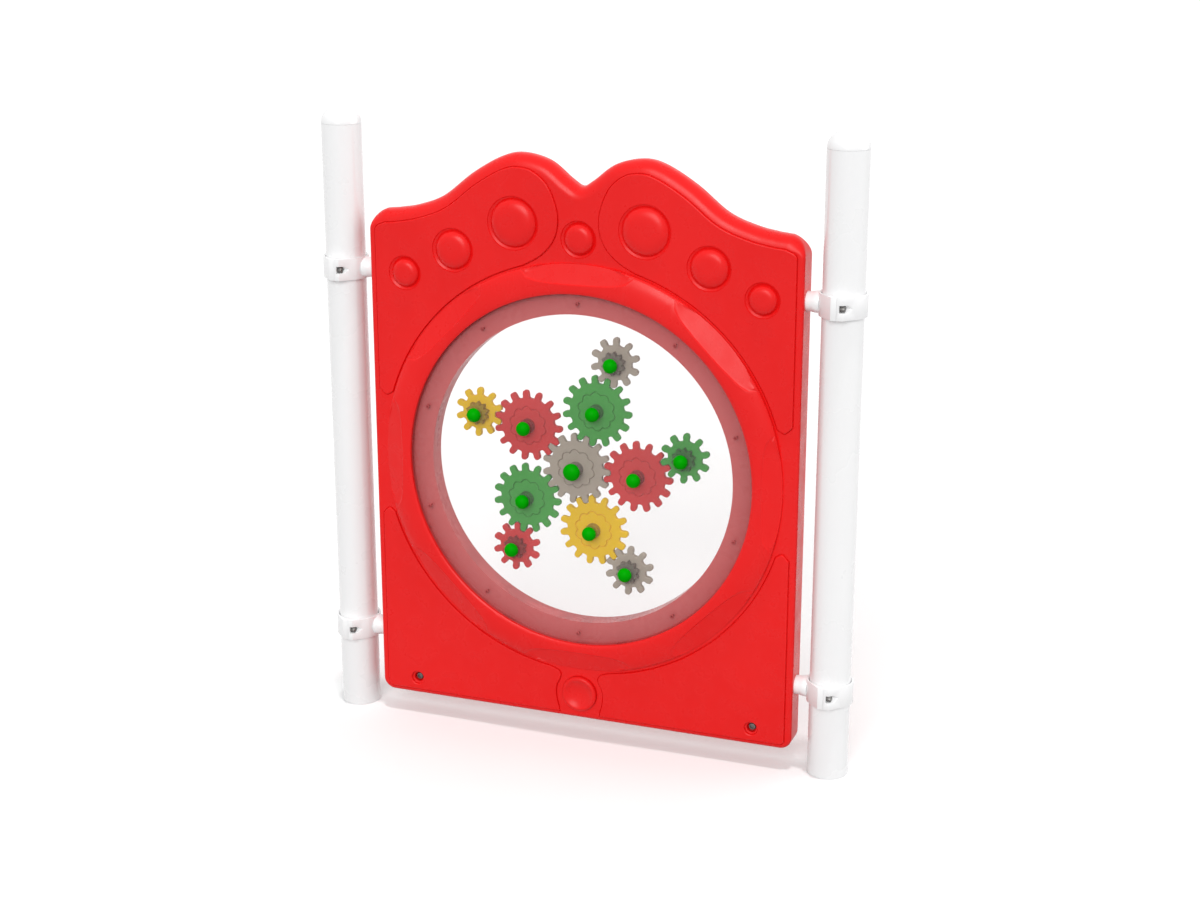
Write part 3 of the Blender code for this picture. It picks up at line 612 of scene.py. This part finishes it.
def screw():
    """One screw about the Y axis, with its head's seat at zero and its head towards -Y."""
    bm = lathe(bmesh.new(), [
        (0.0002, 0.0165), (0.0019, 0.0150), (0.0024, 0.0130), (0.0024, 0.0), (0.0042, 0.0), (0.0043, -0.0004),
        (0.0041, -0.0009), (0.0034, -0.0013), (0.0024, -0.0016), (0.0010, -0.0017),
    ], 20)
    piece = shape("screw", bm, screw_shade_paint.material)
    quarter = [(cross_arm, -cross_half), (cross_arm, cross_half), (cross_half, cross_half)]
    plus = [Matrix.Rotation(math.radians(90 * i), 2) @ Vector(p) for i in range(4) for p in quarter]
    rings = [[(p.x, y, p.y) for p in plus] for y in (-0.0040, -0.0004)]
    carve(piece, "DIFFERENCE", skin_rings(bmesh.new(), rings))
    return piece


def ring_pattern(name, merge):
    """Geometry nodes that repeat a mesh round the Y axis, a given distance from it."""
    tree = bpy.data.node_groups.new(name, "GeometryNodeTree")
    tree.is_modifier = True
    faces = tree.interface
    faces.new_socket("Geometry", in_out="INPUT", socket_type="NodeSocketGeometry")
    faces.new_socket("Count", in_out="INPUT", socket_type="NodeSocketInt")
    faces.new_socket("Radius", in_out="INPUT", socket_type="NodeSocketFloat")
    faces.new_socket("First angle", in_out="INPUT", socket_type="NodeSocketFloat")
    faces.new_socket("Material", in_out="INPUT", socket_type="NodeSocketMaterial")
    faces.new_socket("Geometry", in_out="OUTPUT", socket_type="NodeSocketGeometry")

    def add(kind, settings=None, values=None):
        made = tree.nodes.new(kind)
        for name, value in (settings or {}).items():
            setattr(made, name, value)
        for name, value in (values or {}).items():
            if isinstance(value, bpy.types.NodeSocket):
                tree.links.new(value, made.inputs[name])
            else:
                made.inputs[name].default_value = value
        return made

    def maths(operation, a, b):
        return add("ShaderNodeMath", {"operation": operation}, {0: a, 1: b}).outputs[0]

    given = add("NodeGroupInput").outputs
    index = add("GeometryNodeInputIndex").outputs[0]
    step = maths("DIVIDE", 2 * math.pi, given["Count"])
    angle = maths("ADD", maths("MULTIPLY", index, step), given["First angle"])
    x = maths("MULTIPLY", maths("COSINE", angle, 0.0), given["Radius"])
    z = maths("MULTIPLY", maths("SINE", angle, 0.0), given["Radius"])
    spot = add("ShaderNodeCombineXYZ", None, {"X": x, "Z": z}).outputs[0]
    turn = add("ShaderNodeCombineXYZ", None, {"Y": maths("MULTIPLY", angle, -1.0)}).outputs[0]
    points = add("GeometryNodePoints", None, {"Count": given["Count"], "Position": spot}).outputs[0]
    copies = add("GeometryNodeInstanceOnPoints", None, {
        "Points": points, "Instance": given["Geometry"], "Rotation": turn,
    }).outputs[0]
    whole = add("GeometryNodeRealizeInstances", None, {"Geometry": copies}).outputs[0]
    if merge:
        whole = add("GeometryNodeMergeByDistance", None, {"Geometry": whole, "Distance": 0.00001}).outputs[0]
    painted = add("GeometryNodeSetMaterial", None, {"Geometry": whole, "Material": given["Material"]})
    add("NodeGroupOutput", None, {"Geometry": painted.outputs[0]})
    return tree


def repeated(piece, pattern, count, radius, first, material):
    """Repeat a piece's mesh round the Y axis and keep the whole as its mesh."""
    step = piece.modifiers.new("pattern", "NODES")
    step.node_group = pattern
    sockets = {s.name: s.identifier for s in pattern.interface.items_tree if s.in_out == "INPUT"}
    step[sockets["Count"]] = count
    step[sockets["Radius"]] = radius
    step[sockets["First angle"]] = math.radians(first)
    step[sockets["Material"]] = material
    piece.update_tag()
    bpy.context.view_layer.update()
    return settle(piece)


screw_step = 360.0 / screw_count
screw_pattern = ring_pattern("screws_in_a_ring", merge=False)
for name, node, face, first, outward in (("front_screws", "front_window", 0, 90.0, -1),
                                         ("rear_screws", "rear_window", 1, 72.0, 1)):
    screws = repeated(screw(), screw_pattern, screw_count, screw_ring, first, screw_shade_paint.material)
    screws.name = name
    screws.data.materials.append(cross_recess_shade.material)
    for facet in screws.data.polygons:
        spot = Vector((facet.center.x, facet.center.z))
        turn = math.degrees(math.atan2(spot.y, spot.x)) - first
        off_axis = (spot - polar(screw_ring, first + screw_step * round(turn / screw_step))).length
        # Faces inside the cross recess take the painted shade.
        if off_axis < cross_arm + 0.0001 and -0.0014 < facet.center.y < -0.0003:
            facet.material_index = 1
    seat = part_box(node)[face].y
    if outward > 0:
        screws.data.transform(Matrix.Rotation(math.pi, 4, "Z"))
    screws.data.transform(Matrix.Translation((0.0, seat, axis_z)))
    stand_for(screws, "frame", "panel_red")

# The gears are moulded plastic, 12 mm thick, with rounded cycloidal teeth. One tooth and
# its share of the web and hub is repeated round the axle. The six of fifteen teeth have a
# wavy groove in front, and the five of ten teeth have a star-shaped hub there.
module = 0.0095
large_teeth = 15
small_teeth = 10
tooth_reach = 0.88 * module
rolling_radius = 2.5 * module
backlash = 0.0006
foot_clearance = 0.0012
foot_round = 0.0032
tip_round = 0.0036
gear_half = 0.006
hub_length = 0.0141
round_hub = (0.0167, 0.0163, 0.0153)
star_hub = ((0.0272, 0.0197), (0.0268, 0.0194), (0.0256, 0.0186))
gear_colours = {
    "grey": (0.40, 0.345, 0.285),
    "green": (0.050, 0.330, 0.052),
    "red": (0.62, 0.038, 0.040),
    "yellow": (0.81, 0.51, 0.005),
}
gear_paints = {}
hub_shade_paints = {}
for word, hue in gear_colours.items():
    shade = tuple(0.88 * c for c in hue)
    # The hubs take a darker copy of the gear's colour: painted shade of the narrow space between gear and
    # window.
    hub_shade_colour = tuple(0.42 * c + 0.012 for c in hue)
    plastic = moulded(word + "_gear_plastic", hue, shade, 0.44, 900.0, 0.00008, specular=0.08)
    gear_paints[word] = plastic.material
    plastic = moulded(word + "_hub_painted_shade", hub_shade_colour, tuple(0.85 * c for c in hub_shade_colour), 0.50, specular=0.08)
    hub_shade_paints[word] = plastic.material
gear_words = {
    "centre": "grey",
    "ring_1": "green", "ring_2": "red", "ring_3": "yellow", "ring_4": "green", "ring_5": "red",
    "outer_1": "grey", "outer_2": "green", "outer_3": "grey", "outer_4": "red", "outer_5": "yellow",
}
centre_phase = 22.9
gear_phases = {large_teeth: 22.1, small_teeth: 14.85}


def tooth_side(teeth):
    """Half a tooth as (radius, angle from its middle), from the middle of the gap to the tip."""
    pitch = module * teeth / 2
    roll = rolling_radius
    half = math.pi / (2 * teeth) - backlash / (2 * pitch)
    root = pitch - tooth_reach - foot_clearance
    tip = pitch + tooth_reach
    gap = math.pi / teeth

    def face(turn):
        radius = math.sqrt((pitch + roll) ** 2 + roll ** 2 - 2 * roll * (pitch + roll) * math.cos(turn))
        lean = roll * turn / pitch - math.atan2(roll * math.sin(turn), pitch + roll - roll * math.cos(turn))
        return radius, half - lean

    def flank(turn):
        radius = math.sqrt((pitch - roll) ** 2 + roll ** 2 + 2 * roll * (pitch - roll) * math.cos(turn))
        lean = roll * turn / pitch - math.atan2(roll * math.sin(turn), pitch - roll + roll * math.cos(turn))
        return radius, half + lean

    def up_to(curve, radius):
        turn = 0.0
        while (curve(turn)[0] - radius) * (pitch - radius) > 0 and turn < math.pi:
            turn += 0.002
        return turn

    low = up_to(flank, root + foot_round)
    high = up_to(face, tip - tip_round)
    corner = flank(low)
    side = []
    for i in range(5):
        angle = math.radians(90 * i / 4)
        side.append((root + foot_round * (1 - math.cos(angle)), gap + (corner[1] - gap) * math.sin(angle)))
    side += [flank(low * (1 - i / 4)) for i in range(1, 4)]
    side += [face(high * i / 6) for i in range(7)]
    shoulder = side[-1]
    for i in range(1, 5):
        angle = math.radians(90 * i / 4)
        side.append((tip - tip_round * (1 - math.sin(angle)), shoulder[1] * math.cos(angle)))
    return side


def gear_share(teeth):
    """One tooth with its slice of web, hubs and bore; open where the next slice joins."""
    side = tooth_side(teeth)
    line = [polar(r, -math.degrees(a)) for r, a in side]
    line += [polar(r, math.degrees(a)) for r, a in side[-2::-1]]
    step = 180.0 / teeth
    bm = bmesh.new()

    def inset(points, amount):
        moved = []
        for i, p in enumerate(points):
            if i in (0, len(points) - 1):
                moved.append(p * ((p.length - amount) / p.length))
                continue
            tangent = (points[i + 1] - points[i - 1]).normalized()
            moved.append(p + Vector((-tangent.y, tangent.x)) * amount)
        return moved

    def arc(radius):
        return [polar(radius, -step + 2 * step * i / 4) for i in range(5)]

    def star(radius, valley):
        edge = [polar(valley, -step), polar((radius + valley) / 2, -step / 2), polar(radius, 0.0)]
        return edge + [polar((radius + valley) / 2, step / 2), polar(valley, step)]

    def row(points, y):
        return [bm.verts.new((p[0], y, p[1])) for p in points]

    def bridge(first, second):
        for i in range(len(first) - 1):
            bm.faces.new((first[i], first[i + 1], second[i + 1], second[i]))

    round_edge = [(0.0013, 0.0), (0.0005, 0.0005), (0.0, 0.0013)]
    rows = [row(inset(line, a), -gear_half + b) for a, b in round_edge]
    rows += [row(inset(line, a), gear_half - b) for a, b in reversed(round_edge)]
    for first, second in zip(rows, rows[1:]):
        bridge(first, second)
    for outer, y, sign in ((rows[0], -gear_half, -1), (rows[-1], gear_half, 1)):
        if teeth == small_teeth and sign < 0:
            foot, body, neck = [star(*size) for size in star_hub]
        else:
            foot, body, neck = [arc(radius) for radius in round_hub]
        inner = row(foot, y)
        bm.faces.new(outer + inner[::-1])
        end = y + sign * hub_length
        levels = [inner, row(body, y + sign * 0.0008), row(body, end - sign * 0.0009), row(neck, end)]
        levels.append(row(arc(0.0083), end))
        for first, second in zip(levels, levels[1:]):
            bridge(first, second)
        if sign < 0:
            bore = levels[-1]
        else:
            bridge(bore, levels[-1])
    return bm


def rosette():
    """A wavy groove of ten lobes, cut round the front face."""
    bands = []
    section = ((0.0452, -0.0065), (0.0449, -0.0057), (0.0430, -0.0034), (0.0414, -0.0057), (0.0411, -0.0065))
    for radius, y in section:
        band = []
        for i in range(160):
            angle = 360.0 * i / 160
            wave = 0.0062 * (1 - abs(math.cos(math.radians(angle * 5))))
            p = polar(radius - wave, angle)
            band.append((p.x, y, p.y))
        bands.append(band)
    return skin_rings(bmesh.new(), bands, loop=True)


tooth_pattern = ring_pattern("teeth_in_a_ring", merge=True)
for name, x, y, z, reach in wheels:
    teeth = large_teeth if reach > 0.07 else small_teeth
    paint = gear_paints[gear_words[name]]
    share = shape("gear_wheel_" + name, gear_share(teeth), paint)
    wheel = repeated(share, tooth_pattern, teeth, 0.0, 0.0, paint)
    wheel.data.materials.append(hub_shade_paints[gear_words[name]])
    # Hub faces standing beyond the gear's faces take the painted shade.
    for face in wheel.data.polygons:
        if abs(face.center.y) > gear_half + 0.0003:
            face.material_index = 1
    if teeth == large_teeth:
        carve(wheel, "DIFFERENCE", rosette())
    phase = centre_phase if name == "centre" else gear_phases[teeth]
    wheel.data.transform(Matrix.Rotation(-math.radians(phase), 4, "Y"))
    wheel.data.transform(Matrix.Translation((x, y, z)))
    stand_for(wheel, "spin_" + name, "gear_" + gear_words[name], "gear_" + name)

# Each gear turns on a moulded axle with a domed end behind the rear window, and a domed
# knob is pressed on its front end. They are bright green, and the middle pair is larger.
knob_green = moulded("knob_green_plastic", (0.0, 0.37, 0.0), (0.0, 0.33, 0.0), 0.42, 1100.0, 0.00004,
                     specular=0.03)
knob_height = 0.0165
knob_socket = 0.009


def dome(radius, seat, outward):
    """Section of a dome with a small lip at its seat."""
    lip = knob_height * 0.22
    section = [(radius * 0.93, seat), (radius * 0.97, seat + outward * 0.0004)]
    section += [(radius, seat + outward * 0.0016), (radius, seat + outward * lip)]
    for turn in range(10, 90, 10):
        rise = lip + (knob_height - lip) * math.sin(math.radians(turn))
        section.append((radius * math.cos(math.radians(turn)), seat + outward * rise))
    section.append((0.0003, seat + outward * knob_height))
    return section


front_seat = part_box("knob_centre")[1].y
rear_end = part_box("axle_centre")[1].y
rear_seat = rear_end - knob_height
axle_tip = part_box("axle_centre")[0].y
for name, x, y, z, _ in wheels:
    radius = 0.0192 if name == "centre" else 0.0157
    hollow = [(0.0083, front_seat - knob_socket), (0.0083, front_seat)]
    knob = lathe(bmesh.new(), hollow + dome(radius, front_seat, -1), 64, (x, z))
    knob = shape("knob_dome_" + name, knob, knob_green.material)
    stand_for(knob, "spin_" + name, "knob_green", "knob_" + name)
    shaft = [(0.0068, axle_tip), (0.0076, axle_tip + 0.0006)]
    shaft += [(0.0079, axle_tip + 0.0016), (0.0079, rear_seat)]
    axle = lathe(bmesh.new(), shaft + dome(radius, rear_seat, 1), 48, (x, z))
    axle = shape("axle_pin_" + name, axle, knob_green.material)
    stand_for(axle, "spin_" + name, "knob_green", "axle_" + name)

# A plated steel cap screw sits deep in a counterbore in each lower corner of the board. Its
# turned head has a round recess, and its shank is driven into the moulding.
steel = Paint("plated_steel", (0.15, 0.145, 0.14), 0.34, Metallic=0.9)
steel.set(Roughness=steel.ranged(steel.noise(140.0, 4.0), 0.3, 0.75, 0.27, 0.45))
steel.bump(steel.noise(900.0, 2.0), 0.00003)
for word, side in (("left", -1), ("right", 1)):
    low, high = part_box("corner_bolt_" + word)
    centre = ((low.x + high.x) / 2, (low.z + high.z) / 2)
    head = [(0.0049, 0.006), (0.0088, 0.006), (0.0090, 0.0054), (0.0078, 0.0050), (0.0076, 0.0014),
            (0.0070, 0.0004), (0.0060, 0.0), (0.0046, 0.0), (0.0042, 0.0004), (0.0040, 0.0034),
            (0.0003, 0.0036)]
    profile = [(0.0040, high.y), (0.0049, high.y - 0.001)] + [(r, low.y + depth) for r, depth in head]
    bolt = lathe(bmesh.new(), profile, 36, centre)
    stand_for(shape("cap_screw_" + word, bolt, steel.material), "frame", "bolt_steel", "corner_bolt_" + word)

# The posts are steel tubes 88.9 mm across, powder coated white, with a domed cap pressed
# in their top ends. The coating has the fine ripple of sprayed powder.
powder = Paint("white_powder_coat", (0.90, 0.90, 0.905), 0.28, Coat_Weight=0.8, Coat_Roughness=0.06)
powder.set(Roughness=powder.ranged(powder.noise(9.0, 4.0), 0.3, 0.75, 0.24, 0.36))
tone = powder.ranged(powder.noise(2.5, 3.0), 0.3, 0.7)
powder.set(Base_Color=powder.mixed(tone, (0.905, 0.905, 0.908), (0.89, 0.89, 0.895)))
powder.bump(powder.noise(90.0, 2.0), 0.00002)
for word in ("left", "right"):
    low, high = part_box("post_" + word)
    x = (low.x + high.x) / 2
    radius = (high.x - low.x) / 2
    wall = 0.0032
    tube = lathe(bmesh.new(), [
        (radius, 0.0), (radius, high.z - 0.0003), (radius - 0.0003, high.z), (radius - wall, high.z),
        (radius - wall, 0.0),
    ], 96, (x, 0.0), "Z", loop=True)
    stand_for(shape("tube_" + word, tube, powder.material), "frame", "post_white", "post_" + word)
    low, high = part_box("post_cap_" + word)
    seat = low.z + 0.0203
    dome_height = high.z - seat
    profile = [(radius - wall - 0.0012, low.z), (radius - wall - 0.0004, low.z + 0.003)]
    profile += [(radius - wall - 0.0004, seat), (radius - 0.0003, seat), (radius, seat + 0.0003)]
    for turn in range(6, 90, 7):
        angle = math.radians(turn)
        profile.append((radius * math.cos(angle) ** 0.82, seat + dome_height * math.sin(angle)))
    profile.append((0.0003, high.z))
    cap = lathe(bmesh.new(), profile, 96, (x, 0.0), "Z")
    stand_for(shape("cap_" + word, cap, powder.material), "frame", "post_white", "post_cap_" + word)

# Four cast clamps join the board to the posts. Each grips its post with two halves, bolted
# through ears in front and behind, and the inner half's round arm enters the board's side.
cast = Paint("cast_powder_coat", (0.90, 0.90, 0.905), 0.33, Coat_Weight=0.6, Coat_Roughness=0.12)
cast.set(Roughness=cast.ranged(cast.noise(30.0, 4.0), 0.3, 0.75, 0.28, 0.44))
cast.bump(cast.noise(170.0, 3.0), 0.00008)
post_radius = 0.04445
ear_y = post_radius + 0.0155
ear_x = 0.0122
clamp_half = 0.024
clamp_wall = 0.006
bolt_y = ear_y - 0.009
pocket_x = 0.0055
post_to_board = 0.0754
arm_insert = 0.024


def soften(made, width):
    """Round the real corners of a piece a little."""
    bevel = made.modifiers.new("soften", "BEVEL")
    bevel.width = width
    bevel.segments = 2
    bevel.limit_method = "ANGLE"
    bevel.angle_limit = math.radians(30.0)
    bevel.use_clamp_overlap = True
    settle(made)


def clamp_piece(name, side, x, z, arm):
    """One half of a clamp; side is the side of the post that it grips, arm its arm's reach."""
    inner = post_radius + seat_gap
    outer = inner + clamp_wall
    edge = 0.0001
    plan = [Vector((edge, -ear_y)), Vector((ear_x, -ear_y))]
    plan += [polar(outer, -44 + 4 * i) for i in range(23)]
    plan += [Vector((ear_x, ear_y)), Vector((edge, ear_y))]
    meet = math.sqrt(inner ** 2 - edge ** 2)
    bore = [polar(inner, 87.0 - 3.0 * i) for i in range(59)]
    plan += [Vector((edge, meet)), *bore, Vector((edge, -meet))]
    rings = [[(p.x, p.y, level) for p in plan] for level in (-clamp_half, clamp_half)]
    piece = shape(name, skin_rings(bmesh.new(), rings), cast.material)
    if arm:
        start = inner + 0.0025
        root = clamp_half - 0.0006
        stations = [(start, root), (start + 0.006, root)]
        for i in range(1, 7):
            share = i / 6
            ease = share * share * (3 - 2 * share)
            stations.append((start + 0.006 + 0.015 * share, root + (arm_radius - root) * ease))
        stations += [(arm - 0.0010, arm_radius), (arm, arm_radius - 0.0010)]
        body = bmesh.new()
        skin_rings(body, [[(a, p[0], p[1]) for p in circle(r, 64)] for a, r in stations])
        carve(piece, "UNION", body)
        core = bmesh.new()
        skin_rings(core, [[(p[0], p[1], level) for p in circle(inner, 120)] for level in (-0.03, 0.03)])
        carve(piece, "DIFFERENCE", core)
    cuts = bmesh.new()
    for end in (-1, 1):
        chamfer = ((0.004, inner + 0.0030), (0.0, inner + 0.0024), (-0.0045, inner - 0.0002))
        skin_rings(cuts, [[(p[0], p[1], end * (clamp_half + rise)) for p in circle(r, 96)]
                          for rise, r in chamfer])
    for end in (-1, 1):
        ring = [(end * bolt_y + p[0], p[1]) for p in circle(0.0045, 32)]
        skin_rings(cuts, [[(a, *p) for p in ring] for a in (edge - 0.01, ear_x - 0.0035)])
        if side > 0:
            corners = ((0.016, 0.0078), (0.0, 0.0078), (-0.0088, 0.0), (0.0, -0.0078), (0.016, -0.0078))
            wedge = [(end * (bolt_y + a), b) for a, b in corners]
            skin_rings(cuts, [[(a, *p) for p in wedge] for a in (pocket_x, ear_x + 0.05)])
    carve(piece, "DIFFERENCE", cuts)
    if side < 0:
        piece.data.transform(Matrix.Scale(-1.0, 4, Vector((1, 0, 0))))
        piece.data.flip_normals()
    soften(piece, 0.0007)
    piece.data.transform(Matrix.Translation((x, 0.0, z)))
    return piece


def clamp_bolt(name, x, y, z):
    """A hexagon bolt along X, headed in one half's pocket and threaded into the other half."""
    seat = pocket_x + seat_gap
    end = 0.0037 - ear_x
    bolt = bmesh.new()
    skin_rings(bolt, [[(a, p[0], p[1]) for p in circle(r, 24)]
                      for a, r in ((end, 0.0030), (end + 0.0009, 0.0039), (seat + 0.002, 0.0039))])
    bolt = shape(name, bolt, steel.material)
    head = bmesh.new()
    skin_rings(head, [[(level, p[0], p[1]) for p in circle(0.0070, 6)] for level in (seat, seat + 0.0104)])
    carve(bolt, "UNION", head)
    soften(bolt, 0.0004)
    bolt.data.transform(Matrix.Translation((x, y, z)))
    return bolt


for word, post_side in (("left", -1), ("right", 1)):
    low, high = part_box("post_" + word)
    x = (low.x + high.x) / 2
    for level, rise in clamp_levels:
        z = axis_z + rise
        label = f"clamp_{word}_{level}"
        for part, side, arm in (("inner", -post_side, post_to_board + arm_insert), ("outer", post_side, 0.0)):
            piece = clamp_piece(f"cast_{word}_{level}_{part}", side, x, z, arm)
            stand_for(piece, "frame", "clamp_white", f"{label}_{part}")
        for end, y in (("front", -bolt_y), ("back", bolt_y)):
            bolt = clamp_bolt(f"hex_{word}_{level}_{end}", x, y, z)
            stand_for(bolt, "frame", "bolt_steel", f"{label}_{end}_bolt")

# A pale seamless floor, soft light from above and in front, and the camera where the
# photograph was taken from.
floor_grey = (0.36, 0.36, 0.36)
sky_light = 0.60


class Sky(Paint):
    """The world's background, made with the same nodes as a material."""

    def __init__(self, name):
        world = bpy.data.worlds.new(name)
        world.use_nodes = True
        bpy.context.scene.world = world
        self.tree = world.node_tree
        self.shader = self.tree.nodes["Background"]


def seen_directly(paint):
    """1 for rays from the camera, in a gloss or through a clear piece, and 0 for the rest."""
    seen = paint.node("ShaderNodeLightPath", output="Is Camera Ray")
    for ray in ("Is Glossy Ray", "Is Transmission Ray"):
        seen = seen.join("MAXIMUM", paint.node("ShaderNodeLightPath", output=ray))
    return seen


ground = Paint("pale_floor", floor_grey, 0.8, Specular_IOR_Level=0.05)
ground.set(Base_Color=ground.mixed(seen_directly(ground), floor_grey, (1.0, 1.0, 1.0)))
floor = bmesh.new()
bmesh.ops.create_grid(floor, x_segments=2, y_segments=2, size=40.0)
floor = shape("floor", floor, ground.material)
floor.data.transform(Matrix.Translation((0.0, 0.0, -0.0005)))

sky = Sky("soft_studio")
sky.set(Color=(1.0, 1.0, 1.0, 1.0), Strength=seen_directly(sky) * (1.0 - sky_light) + sky_light)


def soft_sun(name, spot, strength, spread, glossy=True):
    """A far lamp in the direction of a spot. Only a glossy one is mirrored in the pieces."""
    lamp = bpy.data.lights.new(name, "SUN")
    lamp.energy = strength
    lamp.angle = math.radians(spread)
    made = bpy.data.objects.new(name, lamp)
    made.rotation_euler = Vector(spot).to_track_quat("Z", "Y").to_euler()
    made.visible_glossy = glossy
    bpy.context.scene.collection.objects.link(made)


soft_sun("sun_above", (0.06, -0.08, 1.0), 0.76, 3.0, glossy=False)
soft_sun("sun_front", (0.10, -0.95, 0.48), 1.54, 34.0)
soft_sun("sun_side", (1.0, 0.3, 0.3), 0.95, 50.0)

sensor = 36.0
photo_width_pixels = 1200.0
focal_pixels = 1999.21
lens = bpy.data.cameras.new("camera")
lens.sensor_width = sensor
lens.sensor_fit = "HORIZONTAL"
lens.lens = sensor * focal_pixels / photo_width_pixels
lens.clip_end = 60.0
camera = bpy.data.objects.new("camera", lens)
camera.location = (1.51025, -3.90817, 1.91449)
camera.rotation_euler = (math.radians(90.0 - 16.525), 0.0, math.radians(20.656))
bpy.context.scene.collection.objects.link(camera)
bpy.context.scene.camera = camera
bpy.context.scene.view_settings.view_transform = "Standard"
